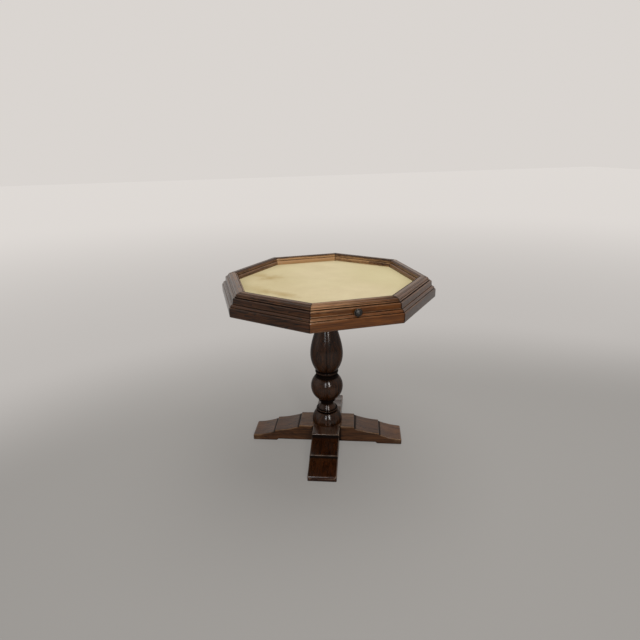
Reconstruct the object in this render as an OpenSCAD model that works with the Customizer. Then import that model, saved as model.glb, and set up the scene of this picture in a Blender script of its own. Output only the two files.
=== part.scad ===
// Octagonal pedestal gaming table. A moulded and mitred rim stands round a sunk cloth
// field, one drawer pulls out of the front facet, and a turned column stands on two
// half-lapped foot beams. Millimetres, +Z up. The origin is on the column's axis at floor
// level, and the drawer faces -Y.

/* [Top] */
// Width of the octagonal top across its flats
top_across = 590; // [560:5:660]
// Height of the table
table_h = 550; // [520:5:620]
// Height of the rim moulding
rim_h = 63; // [62:0.5:68]
// Width of the rim from its outer face to the cloth
rim_w = 51.6; // [50:0.2:58]
// Depth of the cloth below the top of the rim
field_depth = 22; // [20:0.5:24]
// Thickness of the playing board
board_t = 12; // [10:0.5:14]
// Thickness of the cloth
cloth_t = 1; // [0.6:0.1:2]
// Width of the lip that holds the board down
lip_w = 11.6; // [9:0.2:13]
// Gap round the edge of the board in its rebate
board_gap = 0.4; // [0.2:0.1:1]

/* [Outer moulding] */
// Rounding of the rim's bottom edge
ease_r = 5; // [3:0.5:7]
// Width of the rounding along the fascia's top edge
edge_w = 3.2; // [2:0.2:4]
// Height of that rounding
edge_h = 5.2; // [3:0.2:7]
// Width of the groove above the flat fascia
groove_w = 1.5; // [1:0.1:2.2]
// Depth of the groove above the flat fascia
groove_d = 4.6; // [4.2:0.1:5.6]
// Height of the torus above the groove
torus_h = 6; // [5:0.1:7]
// Width of the torus
torus_w = 6.8; // [5.6:0.1:7]
// Setback of the torus from the fascia
torus_back = 3.6; // [3:0.1:4]
// Height of the quirk between the torus and the band
notch_h = 1.2; // [1:0.1:2]
// Depth of that quirk
notch_d = 1.2; // [1:0.1:2]
// Height of the upright band that carries the knob
band_h = 11.6; // [11:0.1:12.4]
// Lean of the band from its flared foot to its shoulder
band_lean = 1.4; // [1:0.1:2]
// Height of the rounded shoulder over the band
shoulder_h = 3; // [2.4:0.1:3.6]
// Width of the rounded shoulder
shoulder_w = 3; // [2.4:0.1:3.4]
// Width of the ledge between the shoulder and the reveal
ledge_out_w = 2.8; // [2:0.1:3.4]
// Height of the dark reveal that parts the drawer from the fixed rim
reveal_h = 1.6; // [1:0.1:2.2]
// Height of the small bead over the reveal
bead_h = 2.9; // [2:0.1:3.4]
// Width of the small bead
bead_w = 3.1; // [2.4:0.1:3.6]
// Height of the top edge over the small bead
nose_h = 6.7; // [6:0.1:7.2]
// Width of the nosing in the top edge
nose_w = 4.9; // [4:0.1:5.8]
// Width of the slope between the nosing and the flat top
slope_w = 4.4; // [3.4:0.1:5]
// Rise of that slope
slope_h = 2.1; // [1.6:0.1:2.6]
// Width and depth of the fine quirks between members
quirk = 0.8; // [0.5:0.1:1.2]

/* [Inner moulding] */
// Width of the inner moulding over the cloth
inner_w = 9.1; // [8:0.1:10]
// Width of the upper ovolo
ovolo_w = 4; // [3:0.1:4.4]
// Height of the upper ovolo
ovolo_h = 9; // [7:0.1:9.5]
// Ledge between the ovolo and the lower bead
ledge_w = 1.2; // [0.8:0.1:1.6]

/* [Bearer and tie rod] */
// Distance from the rebate's corners to the sides of the bearer under the board
bearer_margin = 30.6; // [26:0.2:45]
// Depth of the housings that hold the bearer's ends
housing_d = 8; // [5:1:12]
// Diameter of the column's upper tenon
top_tenon_d = 40; // [34:1:44]
// Diameter of the column's lower tenon
foot_tenon_d = 36; // [30:1:40]
// Diameter of the tie rod
rod_d = 10; // [8:1:12]
// Diameter of the washers
washer_d = 48; // [46:1:54]
// Thickness of the washers
washer_t = 3; // [2:0.5:3]
// Width of the nuts across their flats
nut_af = 17; // [15:1:19]
// Height of the nuts
nut_h = 7; // [5:0.5:7.5]
// Diameter of the wood screws
screw_d = 4.5; // [3.5:0.5:5]
// Depth of the wood screws in the board
screw_bite = 8; // [5:0.5:9]
// Clearance from the glued corner blocks to the bearer
block_gap = 2.6; // [1:0.2:6]
// Height of the glued corner blocks
block_h = 22; // [15:1:25]
// Length of the mitre splines across the joint
spline_l = 20; // [14:1:22]
// Width of the mitre splines
spline_w = 12; // [8:1:13]
// Thickness of the mitre splines
spline_t = 4; // [3:0.5:5]

/* [Drawer] */
// Distance from the rebate's corner to the side of the drawer box
drawer_margin = 13.6; // [13:0.2:20]
// Gap from the top of the drawer's sides up to the playing board
side_clear = 3.5; // [2:0.5:5.5]
// Thickness of the drawer sides and back
side_t = 10; // [9:0.5:12]
// Thickness of the drawer front at its fascia
front_t = 24; // [22:0.5:27]
// Thickness of the drawer bottom
bottom_t = 4; // [3:0.5:4.5]
// Depth of the grooves that hold the bottom
bottom_groove = 4; // [3:0.5:4]
// Depth of the housings at the ends of the sides
side_housing = 6; // [4:0.5:8]
// Distance from the closed drawer front to the stop
stop_set = 37; // [32:1:60]
// Running gap beside and behind the drawer
side_gap = 0.5; // [0.3:0.1:1]
// Gap at each mitred end of the drawer front
mitre_gap = 0.5; // [0.3:0.1:1]
// Width of the runners
runner_w = 16; // [12:0.5:16]
// Height of the runners' tongues
tongue_h = 7.4; // [6:0.2:8]
// Reach of the tongues into the drawer sides
tongue_w = 4.6; // [3:0.2:5]
// Running gap round the tongues
tongue_gap = 0.3; // [0.3:0.1:0.5]
// Depth that the stop hangs below the board
stop_h = 9; // [7:0.5:10]

/* [Knob] */
// Diameter of the knob's head
knob_d = 21; // [17:0.5:22]
// Diameter of the knob's foot
knob_foot_d = 8; // [7:0.2:9]
// Height of the knob's centre over the foot of the band
knob_rise = 5.6; // [4.6:0.2:7]
// Reach of the knob from the band
knob_reach = 18; // [16:0.5:20]
// Diameter of the knob's screw
knob_screw_d = 4; // [3:0.5:4]

/* [Column] */
// Radius of the cut ball on the feet
dome_r = 47.7; // [42:0.1:50]
// Height of that ball's centre over the feet
dome_rise = 6; // [2:0.5:9]
// Height of the cut ball from the feet to its flat top
dome_h = 38.5; // [34:0.5:40]
// Height of the dark hollow between the cut ball and its ring
dome_gap = 5.5; // [4:0.5:7]
// Radius of the ring over the cut ball
low_ring_r = 34.5; // [31:0.5:38]
// Height of that ring
ring_h = 4.5; // [3.5:0.5:6]
// Radius of the slim neck
neck_r = 20; // [19.5:0.5:24]
// Height of the cove from the ring to the neck
low_cove_h = 16.5; // [14:0.5:20]
// Height from the cove to the collar
neck_l = 11; // [9:0.5:13]
// Radius of the ball
ball_r = 51; // [46:0.5:54]
// Height of the ball that shows below its centre
ball_low_h = 45; // [40:0.5:45.5]
// Height of the ball that shows above its centre
ball_high_h = 38; // [34:0.5:40]
// Radius of the disc between ball and vase
disc_r = 36.5; // [34:0.5:40]
// Radius of the vase's foot
vase_foot_r = 35; // [32:0.5:38]
// Largest radius of the vase
vase_r = 51; // [46:0.5:54]
// Height from the vase's foot to its largest radius
vase_belly_h = 53; // [46:1:60]
// Radius of the vase's neck
vase_neck_r = 22; // [20:0.5:26]
// Radius of the capital under the bearer
cap_r = 42; // [38:0.5:48]
// Height of the flare under the capital
flare_h = 22; // [18:0.5:26]

/* [Feet] */
// Length of a foot from the column's axis
foot_reach = 241; // [225:1:260]
// Width of a foot
foot_w = 85; // [80:1:92]
// Height of the feet at their crossing
foot_h = 57.5; // [54:0.5:64]
// Rise of the underside between the toe pads
relief_h = 5; // [3:0.5:8]
// Length of a toe pad
pad_l = 78; // [60:1:90]
// Length of the flat top from the axis to the first step
flat_l = 88; // [80:1:92]
// Distance from the axis to the second step
second_step = 168; // [160:1:176]
// Drop of each step
step_drop = 4.5; // [3:0.1:5]
// Height of the foot at its second step
mid_h = 37; // [34:0.5:41]
// Height of the toe
toe_h = 17; // [14:0.5:20]
// Hollow of each sweep below a straight line
sweep_sag = 2.8; // [1:0.1:3.5]
// Rounding of the toe's upper edge
toe_r = 5; // [3:0.5:6]
// Turn of the feet from the drawer's direction
feet_turn = 19.5; // [0:0.5:22.5]

/* [Hidden] */
$fn = 72;
FACETS = 8;
HALF = 360 / FACETS / 2;
FIT = 0.05;
apothem = top_across / 2;
facet_l = 2 * apothem * tan(HALF);
rim_z = table_h - rim_h;
field_z = table_h - field_depth;
board_top = field_z - cloth_t;
board_z = board_top - board_t;
// Levels of the moulding above the rim's bottom, from the top down
nose_base = rim_h - nose_h;
bead_base = nose_base - quirk - bead_h;
drawer_top = bead_base - reveal_h;
band_top = drawer_top - shoulder_h;
band_base = band_top - band_h;
torus_base = band_base - notch_h - torus_h;
fascia_top = torus_base - groove_w;
lip_base = rim_h - field_depth;
ovolo_base = rim_h - ovolo_h;
// Insets of the moulding from the rim's outer face
band_in = torus_back + torus_w;
bead_in = band_in + band_lean + shoulder_w + ledge_out_w;
nose_in = bead_in + bead_w + quirk / 4;
slope_in = nose_in + nose_w + quirk;
inner_edge = rim_w - inner_w;
rebate_in = rim_w - lip_w;
rebate_apothem = apothem - rebate_in;
board_apothem = rebate_apothem - board_gap;
// Bearer, tenons and tie rod
bearer_w = 2 * (rebate_apothem * tan(HALF) - bearer_margin);
bearer_t = board_z - rim_z;
rod_clear = 0.5;
sink_d = washer_d + 2;
top_sink = washer_t + nut_h + 2;
top_tenon_l = bearer_t - top_sink - 0.5;
foot_sink = 15;
foot_tenon_l = foot_h - relief_h - foot_sink - 0.5;
rod_low = relief_h + 2;
rod_high = board_z - 0.5;
lap_z = (relief_h + foot_h) / 2;
screw_head_h = 2.6;
screw_sites = [for (s = [-1, 1]) each [[s * 0.86 * rebate_apothem, 0],
    for (t = [-1, 1]) [s * 0.37 * rebate_apothem, t * 0.3 * bearer_w]]];
block_leg = bearer_margin - block_gap;
// Drawer box, seen from above: y runs from the front to the bearer
drawer_w = 2 * (rebate_apothem * tan(HALF) - drawer_margin);
front_back_y = -(apothem - front_t);
box_back_y = -(bearer_w / 2 + side_gap);
box_z = rim_z + 2.5;
side_h = board_z - side_clear - box_z;
groove_z = box_z + 3;
tongue_z = groove_z + bottom_t + 1;
back_front_y = box_back_y - side_housing - side_t;
inner_x = drawer_w / 2 - side_t;
front_gap = 0.6;
stop_l = 12;
stop_w = 40;
stop_y = front_back_y + stop_set + stop_l;
runner_x = drawer_w / 2 + side_gap;
runner_end_gap = 2;
runner_front_y = -(rebate_apothem / cos(2 * HALF) - (runner_x + runner_w) * tan(2 * HALF)
    - runner_end_gap);
runner_l = -bearer_w / 2 - runner_front_y;
runner_screw_y = [for (t = [1 / 7, 5 / 6]) runner_front_y + t * runner_l];
// Knob, measured outwards from its seat in the band
knob_h = band_base + knob_rise;
knob_seat = band_in + band_lean;
knob_z = rim_z + knob_h;
knob_bore_l = 9;
head_sink = 3.5;
// Column levels from the feet up
ring_z = foot_h + dome_h + dome_gap;
neck_z = ring_z + ring_h + low_cove_h;
collar_z = neck_z + neck_l;
collar_h = 5;
ball_z = collar_z + collar_h + ball_low_h;
disc_gap = 9;
disc_z = ball_z + ball_high_h + disc_gap;
disc_h = 11;
vase_z = disc_z + 1.1 * disc_h;
cap_h = 25;
cap_z = rim_z - cap_h;
top_ring_h = 8;
top_ring_z = cap_z - flare_h - top_ring_h;
WALNUT = "#5b3722";
DARK = "#3a2318";
PLY = "#b98f5c";
STEEL = "#8d9094";

// Outward quarter ellipse that rises from [x, y], upright at first and level at its end
function swell(x, y, w, h, n = 6) =
    [for (i = [0:n]) [x + w * (1 - cos(90 * i / n)), y + h * sin(90 * i / n)]];
// The same curve on the inner side, level at first and upright at its end
function fall(x, y, w, h, n = 6) =
    [for (i = [0:n]) [x + w * sin(90 * i / n), y - h * (1 - cos(90 * i / n))]];
// Smooth radius between two levels, with the slope dr/dz given at both ends
function blend(r0, z0, s0, r1, z1, s1, n = 12) = [for (i = [0:n]) let (t = i / n, l = z1 - z0)
    [r0 * (1 - 3 * t * t + 2 * t * t * t) + r1 * (3 * t * t - 2 * t * t * t)
        + l * (s0 * (t - 2 * t * t + t * t * t) + s1 * (t * t * t - t * t)), z0 + l * t]];
// Half-round edge of a ring between two levels
function ring_edge(r, z, h, n = 8) =
    [for (i = [0:n]) [r - h / 2 + h / 2 * sin(180 * i / n), z + h / 2 - h / 2 * cos(180 * i / n)]];
// Shallow hollow between two points of a foot's side outline
function sweep(a, b, sag, n = 10) =
    [for (i = [0:n]) let (t = i / n) a + (b - a) * t - [0, 4 * sag * t * (1 - t)]];

// Section of a rim rail: x is the inset from the outer face, y the height in the rim
function rail_section() = concat(
    [for (i = [0:5]) ease_r * [1 - sin(18 * i), 1 - cos(18 * i)]],
    swell(0, fascia_top - edge_h, edge_w, edge_h, 6),
    [[groove_d, fascia_top], [groove_d, torus_base - 0.3]],
    swell(torus_back, torus_base, torus_w, torus_h, 8),
    [[band_in + notch_d, band_base - notch_h], [band_in + notch_d, band_base - 0.2]],
    [[band_in, band_base], [band_in + 0.35 * band_lean, band_base + 0.1 * band_h]],
    [[band_in + 0.6 * band_lean, band_base + 0.22 * band_h]],
    swell(band_in + band_lean, band_top, shoulder_w, shoulder_h, 6),
    [[bead_in + 3.5, drawer_top], [bead_in + 3.5, bead_base]],
    swell(bead_in, bead_base, bead_w, bead_h, 5),
    [[nose_in + 1.2, nose_base - quirk], [nose_in + 1.2, nose_base]],
    swell(nose_in, nose_base, nose_w, nose_h - slope_h, 7),
    [[slope_in - quirk / 2, rim_h - slope_h - quirk], [slope_in, rim_h - slope_h - quirk / 2]],
    [[slope_in + slope_w / 2, rim_h - slope_h / 2], [slope_in + slope_w, rim_h - quirk / 2]],
    [[slope_in + slope_w, rim_h]],
    [[inner_edge - 2 * quirk, rim_h], [inner_edge - quirk, rim_h - 2 * quirk]],
    fall(inner_edge, rim_h, ovolo_w, ovolo_h, 7),
    [[inner_edge + ovolo_w - 1, ovolo_base - 0.6]],
    fall(inner_edge + ovolo_w + ledge_w, ovolo_base - 1.2, inner_w - ovolo_w - ledge_w,
        ovolo_base - 1.2 - lip_base - 1, 7),
    [[rim_w, lip_base], [rebate_in, lip_base], [rebate_in, 1], [rebate_in - 1, 0]]);

// Bar along the front facet, from a section in insets and heights
module facet_bar() {
    translate([0, -apothem, rim_z]) rotate([90, 0, 90])
        linear_extrude(facet_l + rim_w, center = true) children();
}

// Wedge between the two mitre planes of the front facet, drawn in by a gap at each
module mitre_wedge(gap = 0) {
    reach = apothem + rim_w;
    tip = gap / sin(HALF);
    half = (reach - tip) * tan(HALF);
    translate([0, 0, rim_z - 1]) linear_extrude(rim_h + 2)
        polygon([[0, -tip], [half, -reach], [-half, -reach]]);
}

// Octagonal slab with its flats square to the axes
module octagon(a, z, t) {
    translate([0, 0, z]) rotate([0, 0, HALF]) cylinder(r = a / cos(HALF), h = t, $fn = FACETS);
}

// Countersunk wood screw that points up from its head; grow makes its hole
module wood_screw(length, grow = 0) {
    cylinder(d = screw_d + 2 * grow, h = length + grow);
    cylinder(r1 = screw_d + grow, r2 = screw_d / 2 + grow, h = screw_head_h);
}

module spline_at(k, grow = 0) {
    rotate([0, 0, k * 2 * HALF + HALF - 90])
        translate([(apothem - (front_t + front_gap + inner_edge + ovolo_w) / 2) / cos(HALF), 0,
            rim_z + lip_base + (drawer_top - lip_base) / 2])
        cube([spline_w + 2 * grow, spline_l + 2 * grow, spline_t + 2 * grow], center = true);
}

// Full rail, turned k facets on from the drawer's facet
module rim_rail(k) {
    color(WALNUT) difference() {
        rotate([0, 0, k * 2 * HALF]) intersection() {
            facet_bar() polygon(rail_section());
            mitre_wedge();
        }
        spline_at(k);
        spline_at(k - 1);
        bearer_block();
    }
}

module drawer_rail() {
    color(WALNUT) difference() {
        intersection() {
            facet_bar() difference() {
                polygon(rail_section());
                translate([-1, -1]) square([front_t + front_gap + 1, bead_base + 1]);
                translate([-1, -1]) square([rim_w + 2, board_z - rim_z + 1]);
            }
            mitre_wedge();
        }
        spline_at(0);
        spline_at(-1);
    }
}

module mitre_splines() {
    color(PLY) for (k = [0:FACETS - 1]) spline_at(k);
}

module playing_board() {
    color(PLY) difference() {
        octagon(board_apothem, board_z, board_t);
        bearer_screw_set(FIT);
        runner_screw_set(FIT);
        stop_screw_at(FIT);
    }
}

module playing_cloth() {
    color("#d4c896") octagon(board_apothem, board_top, cloth_t);
}

module corner_blocks() {
    corner_r = rebate_apothem / cos(HALF);
    leg = block_leg * [cos(90 + HALF), sin(90 + HALF)];
    color(PLY) for (k = [1:FACETS - 2]) rotate([0, 0, k * 2 * HALF + HALF - 90])
        translate([corner_r, 0, board_z - block_h]) linear_extrude(block_h)
        polygon([[0, 0], leg, [leg[0], -leg[1]]]);
}

module bearer_block() {
    length = 2 * (rebate_apothem + housing_d);
    translate([-length / 2, -bearer_w / 2, rim_z]) cube([length, bearer_w, bearer_t]);
}

module bearer_screw_set(grow = 0) {
    for (p = screw_sites) translate([p[0], p[1], rim_z])
        wood_screw(bearer_t + screw_bite, grow);
}

module bearer() {
    color(PLY) difference() {
        bearer_block();
        bearer_screw_set(FIT);
        translate([0, 0, rim_z - 1]) cylinder(d = top_tenon_d + 2 * FIT, h = bearer_t + 2);
        translate([0, 0, board_z - top_sink]) cylinder(d = sink_d, h = top_sink + 1);
    }
}

module bearer_screws() {
    color(STEEL) bearer_screw_set();
}

// Runner on the +X side: a block under the board with a tongue for the drawer's groove
module runner() {
    difference() {
        translate([0, runner_front_y, 0]) {
            translate([runner_x, 0, rim_z + 1.5])
                cube([runner_w, runner_l, board_z - rim_z - 1.5]);
            translate([runner_x - side_gap - tongue_w, 0, tongue_z + tongue_gap])
                cube([tongue_w + side_gap + 1, runner_l, tongue_h]);
        }
        runner_screw_pair(FIT);
    }
}

module runner_screw_pair(grow = 0) {
    for (y = runner_screw_y) translate([runner_x + runner_w / 2, y, rim_z + 1.5])
        wood_screw(board_z - rim_z - 1.5 + screw_bite, grow);
}

module runner_screw_set(grow = 0) {
    runner_screw_pair(grow);
    mirror([1, 0, 0]) runner_screw_pair(grow);
}

module runner_right() {
    color(PLY) runner();
}

module runner_left() {
    color(PLY) mirror([1, 0, 0]) runner();
}

module runner_screws() {
    color(STEEL) runner_screw_set();
}

module stop_screw_at(grow = 0) {
    translate([0, stop_y - stop_l / 2, board_z - stop_h]) wood_screw(stop_h + screw_bite, grow);
}

module drawer_stop() {
    color(PLY) difference() {
        translate([-stop_w / 2, stop_y - stop_l, board_z - stop_h])
            cube([stop_w, stop_l, stop_h]);
        stop_screw_at(FIT);
    }
}

module stop_screw() {
    color(STEEL) stop_screw_at();
}

// Turned outline of the column from the feet to the bearer, as [radius, height]
function column_outline() = concat(
    [[0, foot_h]],
    [for (i = [0:16]) let (low = asin(-dome_rise / dome_r),
        high = asin((dome_h - dome_rise) / dome_r), a = low + (high - low) * i / 16)
        [dome_r * cos(a), foot_h + dome_rise + dome_r * sin(a)]],
    [[neck_r + dome_gap, foot_h + dome_h + 0.1 * dome_gap]],
    blend(neck_r + 0.8 * dome_gap, foot_h + dome_h + 0.2 * dome_gap, -0.3,
        low_ring_r - ring_h, ring_z, 1.2, 6),
    ring_edge(low_ring_r, ring_z, ring_h),
    blend(low_ring_r - 1.1 * ring_h, ring_z + ring_h, -0.6, neck_r, neck_z, -0.3, 10),
    blend(neck_r, neck_z + neck_l / 2, 0, neck_r + 0.8 * collar_h, collar_z, 1.2, 4),
    ring_edge(neck_r + 1.5 * collar_h, collar_z, collar_h, 6),
    [for (i = [0:20]) let (low = asin(-ball_low_h / ball_r), high = asin(ball_high_h / ball_r),
        a = low + (high - low) * i / 20) ball_r * [cos(a), sin(a)] + [0, ball_z]],
    [for (p = [[0.22, 0.94], [0.22, 0.55], [0.66, 0.5], [0.66, 0]])
        [disc_r - p[0] * disc_gap, disc_z - p[1] * disc_gap]],
    ring_edge(disc_r, disc_z, disc_h),
    blend(vase_foot_r, vase_z, 0.65, vase_r, vase_z + vase_belly_h, 0, 12),
    blend(vase_r, vase_z + vase_belly_h, 0, vase_neck_r, top_ring_z - 0.4 * top_ring_h, -0.1, 20),
    [[vase_neck_r, top_ring_z]],
    ring_edge(vase_neck_r + 0.9 * top_ring_h, top_ring_z, top_ring_h, 6),
    blend(vase_neck_r + top_ring_h / 8, top_ring_z + top_ring_h, 0.05, cap_r - 0.16 * cap_h,
        cap_z - 0.08 * cap_h, 1.4, 8),
    [for (p = [[0.16, 0], [0.08, 0], [0, 0.12]]) [cap_r - p[0] * cap_h, cap_z + p[1] * cap_h]],
    [[cap_r, rim_z], [0, rim_z]]);

module column() {
    color(DARK) difference() {
        union() {
            rotate_extrude() polygon(column_outline());
            translate([0, 0, foot_h - foot_tenon_l]) cylinder(d = foot_tenon_d, h = foot_tenon_l + 1);
            translate([0, 0, rim_z - 1]) cylinder(d = top_tenon_d, h = top_tenon_l + 1);
        }
        translate([0, 0, foot_h - foot_tenon_l - 1])
            cylinder(d = rod_d + 2 * rod_clear, h = rim_z - foot_h + foot_tenon_l + top_tenon_l + 2);
    }
}

module tie_rod() {
    color(STEEL) translate([0, 0, rod_low]) cylinder(d = rod_d, h = rod_high - rod_low);
}

module tie_washers() {
    color(STEEL) for (z = [board_z - top_sink, relief_h + foot_sink - washer_t])
        translate([0, 0, z]) difference() {
            cylinder(d = washer_d, h = washer_t);
            translate([0, 0, -1]) cylinder(d = rod_d + rod_clear, h = washer_t + 2);
        }
}

module tie_nuts() {
    color(STEEL) for (z = [board_z - top_sink + washer_t, relief_h + foot_sink - washer_t - nut_h])
        translate([0, 0, z]) difference() {
            cylinder(d = nut_af / cos(30), h = nut_h, $fn = 6);
            translate([0, 0, -1]) cylinder(d = rod_d + 2 * FIT, h = nut_h + 2);
        }
}

// Side outline of one half of a foot beam, from the axis out to the toe
function foot_half() = concat(
    [[0, foot_h], [flat_l - 1.5, foot_h], [flat_l, foot_h - 1.5]],
    sweep([flat_l, foot_h - step_drop], [second_step - 1, mid_h], sweep_sag),
    [[second_step, mid_h - 1]],
    sweep([second_step + 0.5, mid_h - step_drop], [foot_reach - toe_r, toe_h], sweep_sag),
    [for (a = [60:-30:0]) [foot_reach - toe_r + toe_r * cos(a), toe_h - toe_r + toe_r * sin(a)]],
    [[foot_reach, 1], [foot_reach - 1, 0], [foot_reach - pad_l, 0],
        [foot_reach - pad_l - relief_h, relief_h]]);

module foot_beam() {
    half = foot_half();
    mirrored = [for (i = [len(half) - 1:-1:1]) [-half[i][0], half[i][1]]];
    inset = foot_w / 2 - toe_r;
    rotate([0, 0, -feet_turn]) difference() {
        intersection() {
            rotate([90, 0, 0]) linear_extrude(foot_w, center = true) polygon(concat(half, mirrored));
            linear_extrude(foot_h + 1) union() {
                square([2 * foot_reach, 2 * inset], center = true);
                square([2 * (foot_reach - toe_r), foot_w], center = true);
                for (x = [-1, 1], y = [-1, 1])
                    translate([x * (foot_reach - toe_r), y * inset]) circle(toe_r);
            }
        }
        translate([0, 0, -1]) cylinder(d = foot_tenon_d + 2 * FIT, h = foot_h + 2);
        translate([0, 0, -1]) cylinder(d = sink_d, h = relief_h + foot_sink + 1);
    }
}

// Block cut away where the other beam laps through
module lap_cut(z0, z1) {
    rotate([0, 0, -feet_turn]) translate([-foot_w / 2, -foot_w / 2, z0])
        cube([foot_w, foot_w, z1 - z0]);
}

module foot_beam_lower() {
    color(WALNUT) difference() {
        foot_beam();
        lap_cut(lap_z, foot_h + 1);
    }
}

module foot_beam_upper() {
    color(WALNUT) difference() {
        rotate([0, 0, 90]) foot_beam();
        lap_cut(-1, lap_z);
    }
}

module knob_screw_at(grow = 0) {
    translate([0, front_back_y - head_sink, knob_z]) rotate([90, 0, 0])
        cylinder(d = knob_screw_d + 2 * grow, h = front_t - knob_seat - head_sink + knob_bore_l - 1 + grow);
    translate([0, front_back_y - head_sink, knob_z]) rotate([-90, 0, 0])
        cylinder(d = 2 * knob_screw_d + 2 * grow, h = grow > 0 ? 2 * head_sink : head_sink - 0.5);
}

module drawer_front() {
    color(WALNUT) difference() {
        intersection() {
            facet_bar() intersection() {
                polygon(rail_section());
                square([front_t, drawer_top]);
            }
            mitre_wedge(mitre_gap);
        }
        drawer_side(1);
        drawer_side(-1);
        drawer_bottom_panel();
        knob_screw_at(FIT);
        translate([0, -(apothem - knob_seat), knob_z]) rotate([90, 0, 0])
            cylinder(d = knob_foot_d + 0.2, h = knob_reach);
    }
}

// Plain drawer side, from its housing in the front to the back end
module drawer_side(side) {
    x = side > 0 ? inner_x : -drawer_w / 2;
    translate([x, front_back_y - side_housing, box_z])
        cube([side_t, box_back_y - front_back_y + side_housing, side_h]);
}

module drawer_bottom_panel() {
    translate([-inner_x - bottom_groove, front_back_y - bottom_groove, groove_z])
        cube([2 * (inner_x + bottom_groove), back_front_y - front_back_y + 2 * bottom_groove,
            bottom_t]);
}

module drawer_back_panel() {
    half = inner_x + side_housing / 2;
    translate([-half, back_front_y, box_z]) cube([2 * half, side_t, side_h]);
}

module grooved_side(side) {
    groove_w = tongue_w + tongue_gap + 0.1;
    x = side > 0 ? drawer_w / 2 - groove_w : -drawer_w / 2 - 1;
    difference() {
        drawer_side(side);
        drawer_bottom_panel();
        drawer_back_panel();
        translate([x, front_back_y + 8, tongue_z])
            cube([groove_w + 1, -front_back_y, tongue_h + 2 * tongue_gap]);
    }
}

module drawer_side_right() {
    color(PLY) grooved_side(1);
}

module drawer_side_left() {
    color(PLY) grooved_side(-1);
}

module drawer_back() {
    color(PLY) difference() {
        drawer_back_panel();
        drawer_bottom_panel();
    }
}

module drawer_bottom() {
    color(PLY) drawer_bottom_panel();
}

// Turned outline of the knob, as [radius, distance from its seat]
function knob_outline() = let (head_t = 6, mid = knob_reach - head_t) concat(
    [[0, 0], [knob_foot_d / 2, 0], [knob_foot_d / 2, 1.2], [knob_foot_d / 2 - 1.2, 2.4]],
    [[3.2, 5], [3.4, 7.5]],
    [for (a = [-68:11:86]) [knob_d / 2 * cos(a), mid + head_t * sin(a)]],
    [[0, knob_reach]]);

module drawer_knob() {
    color("#6d6242") difference() {
        translate([0, -(apothem - knob_seat), knob_z]) rotate([90, 0, 0])
            rotate_extrude() polygon(knob_outline());
        knob_screw_at(FIT);
    }
}

module knob_screw() {
    color(STEEL) knob_screw_at();
}

rim_rail(2);  // rail_right
rim_rail(3);  // rail_back_right
rim_rail(4);  // rail_back
rim_rail(5);  // rail_back_left
rim_rail(6);  // rail_left
rim_rail(7);  // rail_front_left
rim_rail(1);  // rail_front_right
drawer_rail();
mitre_splines();
playing_board();
playing_cloth();
corner_blocks();
bearer();
bearer_screws();
runner_left();
runner_right();
runner_screws();
drawer_stop();
stop_screw();
column();
tie_rod();
tie_nuts();
tie_washers();
foot_beam_lower();
foot_beam_upper();
drawer_front();
drawer_side_left();
drawer_side_right();
drawer_back();
drawer_bottom();
drawer_knob();
knob_screw();
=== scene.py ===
import math

import bpy
import numpy as np
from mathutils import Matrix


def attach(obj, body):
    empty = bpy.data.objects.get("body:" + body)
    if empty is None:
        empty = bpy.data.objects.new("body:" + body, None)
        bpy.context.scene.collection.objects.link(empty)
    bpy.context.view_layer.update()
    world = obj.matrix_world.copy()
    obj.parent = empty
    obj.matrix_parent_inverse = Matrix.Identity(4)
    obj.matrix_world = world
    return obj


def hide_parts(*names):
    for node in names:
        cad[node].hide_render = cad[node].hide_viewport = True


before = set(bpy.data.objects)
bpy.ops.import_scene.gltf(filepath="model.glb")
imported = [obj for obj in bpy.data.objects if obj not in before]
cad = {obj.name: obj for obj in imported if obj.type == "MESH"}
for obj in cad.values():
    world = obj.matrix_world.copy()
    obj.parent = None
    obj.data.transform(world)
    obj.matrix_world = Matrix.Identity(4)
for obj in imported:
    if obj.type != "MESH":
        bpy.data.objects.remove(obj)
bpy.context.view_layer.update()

# ---------------------------------------------------------------------------------------
# Studio. The camera looks down on the drawer corner from a little to the left of it, over
# a plain pale floor with an even pale surround, under one wide soft light, with two tall
# window lights behind the camera.
# ---------------------------------------------------------------------------------------
scene = bpy.context.scene
scene.view_settings.view_transform = "Standard"

camera = bpy.data.objects.new("camera", bpy.data.cameras.new("camera"))
camera.data.sensor_width = 36.0
camera.data.lens = 27.41
camera.location = (-0.3679, -1.3412, 0.9210)
camera.rotation_euler = [math.radians(a) for a in (69.683, 0.849, -14.876)]
scene.collection.objects.link(camera)
scene.camera = camera


def feed(tree, node, feeds):
    """Sets a node's inputs: feeds pairs a socket with a value or with another's output."""
    for socket, value in feeds:
        if isinstance(value, bpy.types.NodeSocket):
            tree.links.new(value, node.inputs[socket])
        else:
            node.inputs[socket].default_value = value


def add_node(tree, kind, feeds=(), **settings):
    """Adds a shader node, gives it its settings and feeds its inputs."""
    made = tree.nodes.new(kind)
    for key, value in settings.items():
        setattr(made, key, value)
    feed(tree, made, feeds)
    return made


def mesh_object(name, points, faces):
    """Puts points in metres and a list of faces into a new mesh object at the origin."""
    mesh = bpy.data.meshes.new(name)
    mesh.from_pydata(points.tolist(), [], faces)
    mesh.update()
    made = bpy.data.objects.new(name, mesh)
    scene.collection.objects.link(made)
    return made


def blend(tree, amount, first, second, how="MIX"):
    """Mixes two colours and gives the output socket."""
    made = add_node(tree, "ShaderNodeMix", data_type="RGBA", blend_type=how, clamp_factor=True)
    feed(tree, made, [(0, amount), (6, first), (7, second)])
    return made.outputs[2]


def reckon(tree, how, first, second=0.0, third=0.0):
    """One step of arithmetic on values; gives the output socket."""
    made = add_node(tree, "ShaderNodeMath", [(0, first), (1, second), (2, third)], operation=how)
    return made.outputs[0]


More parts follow.
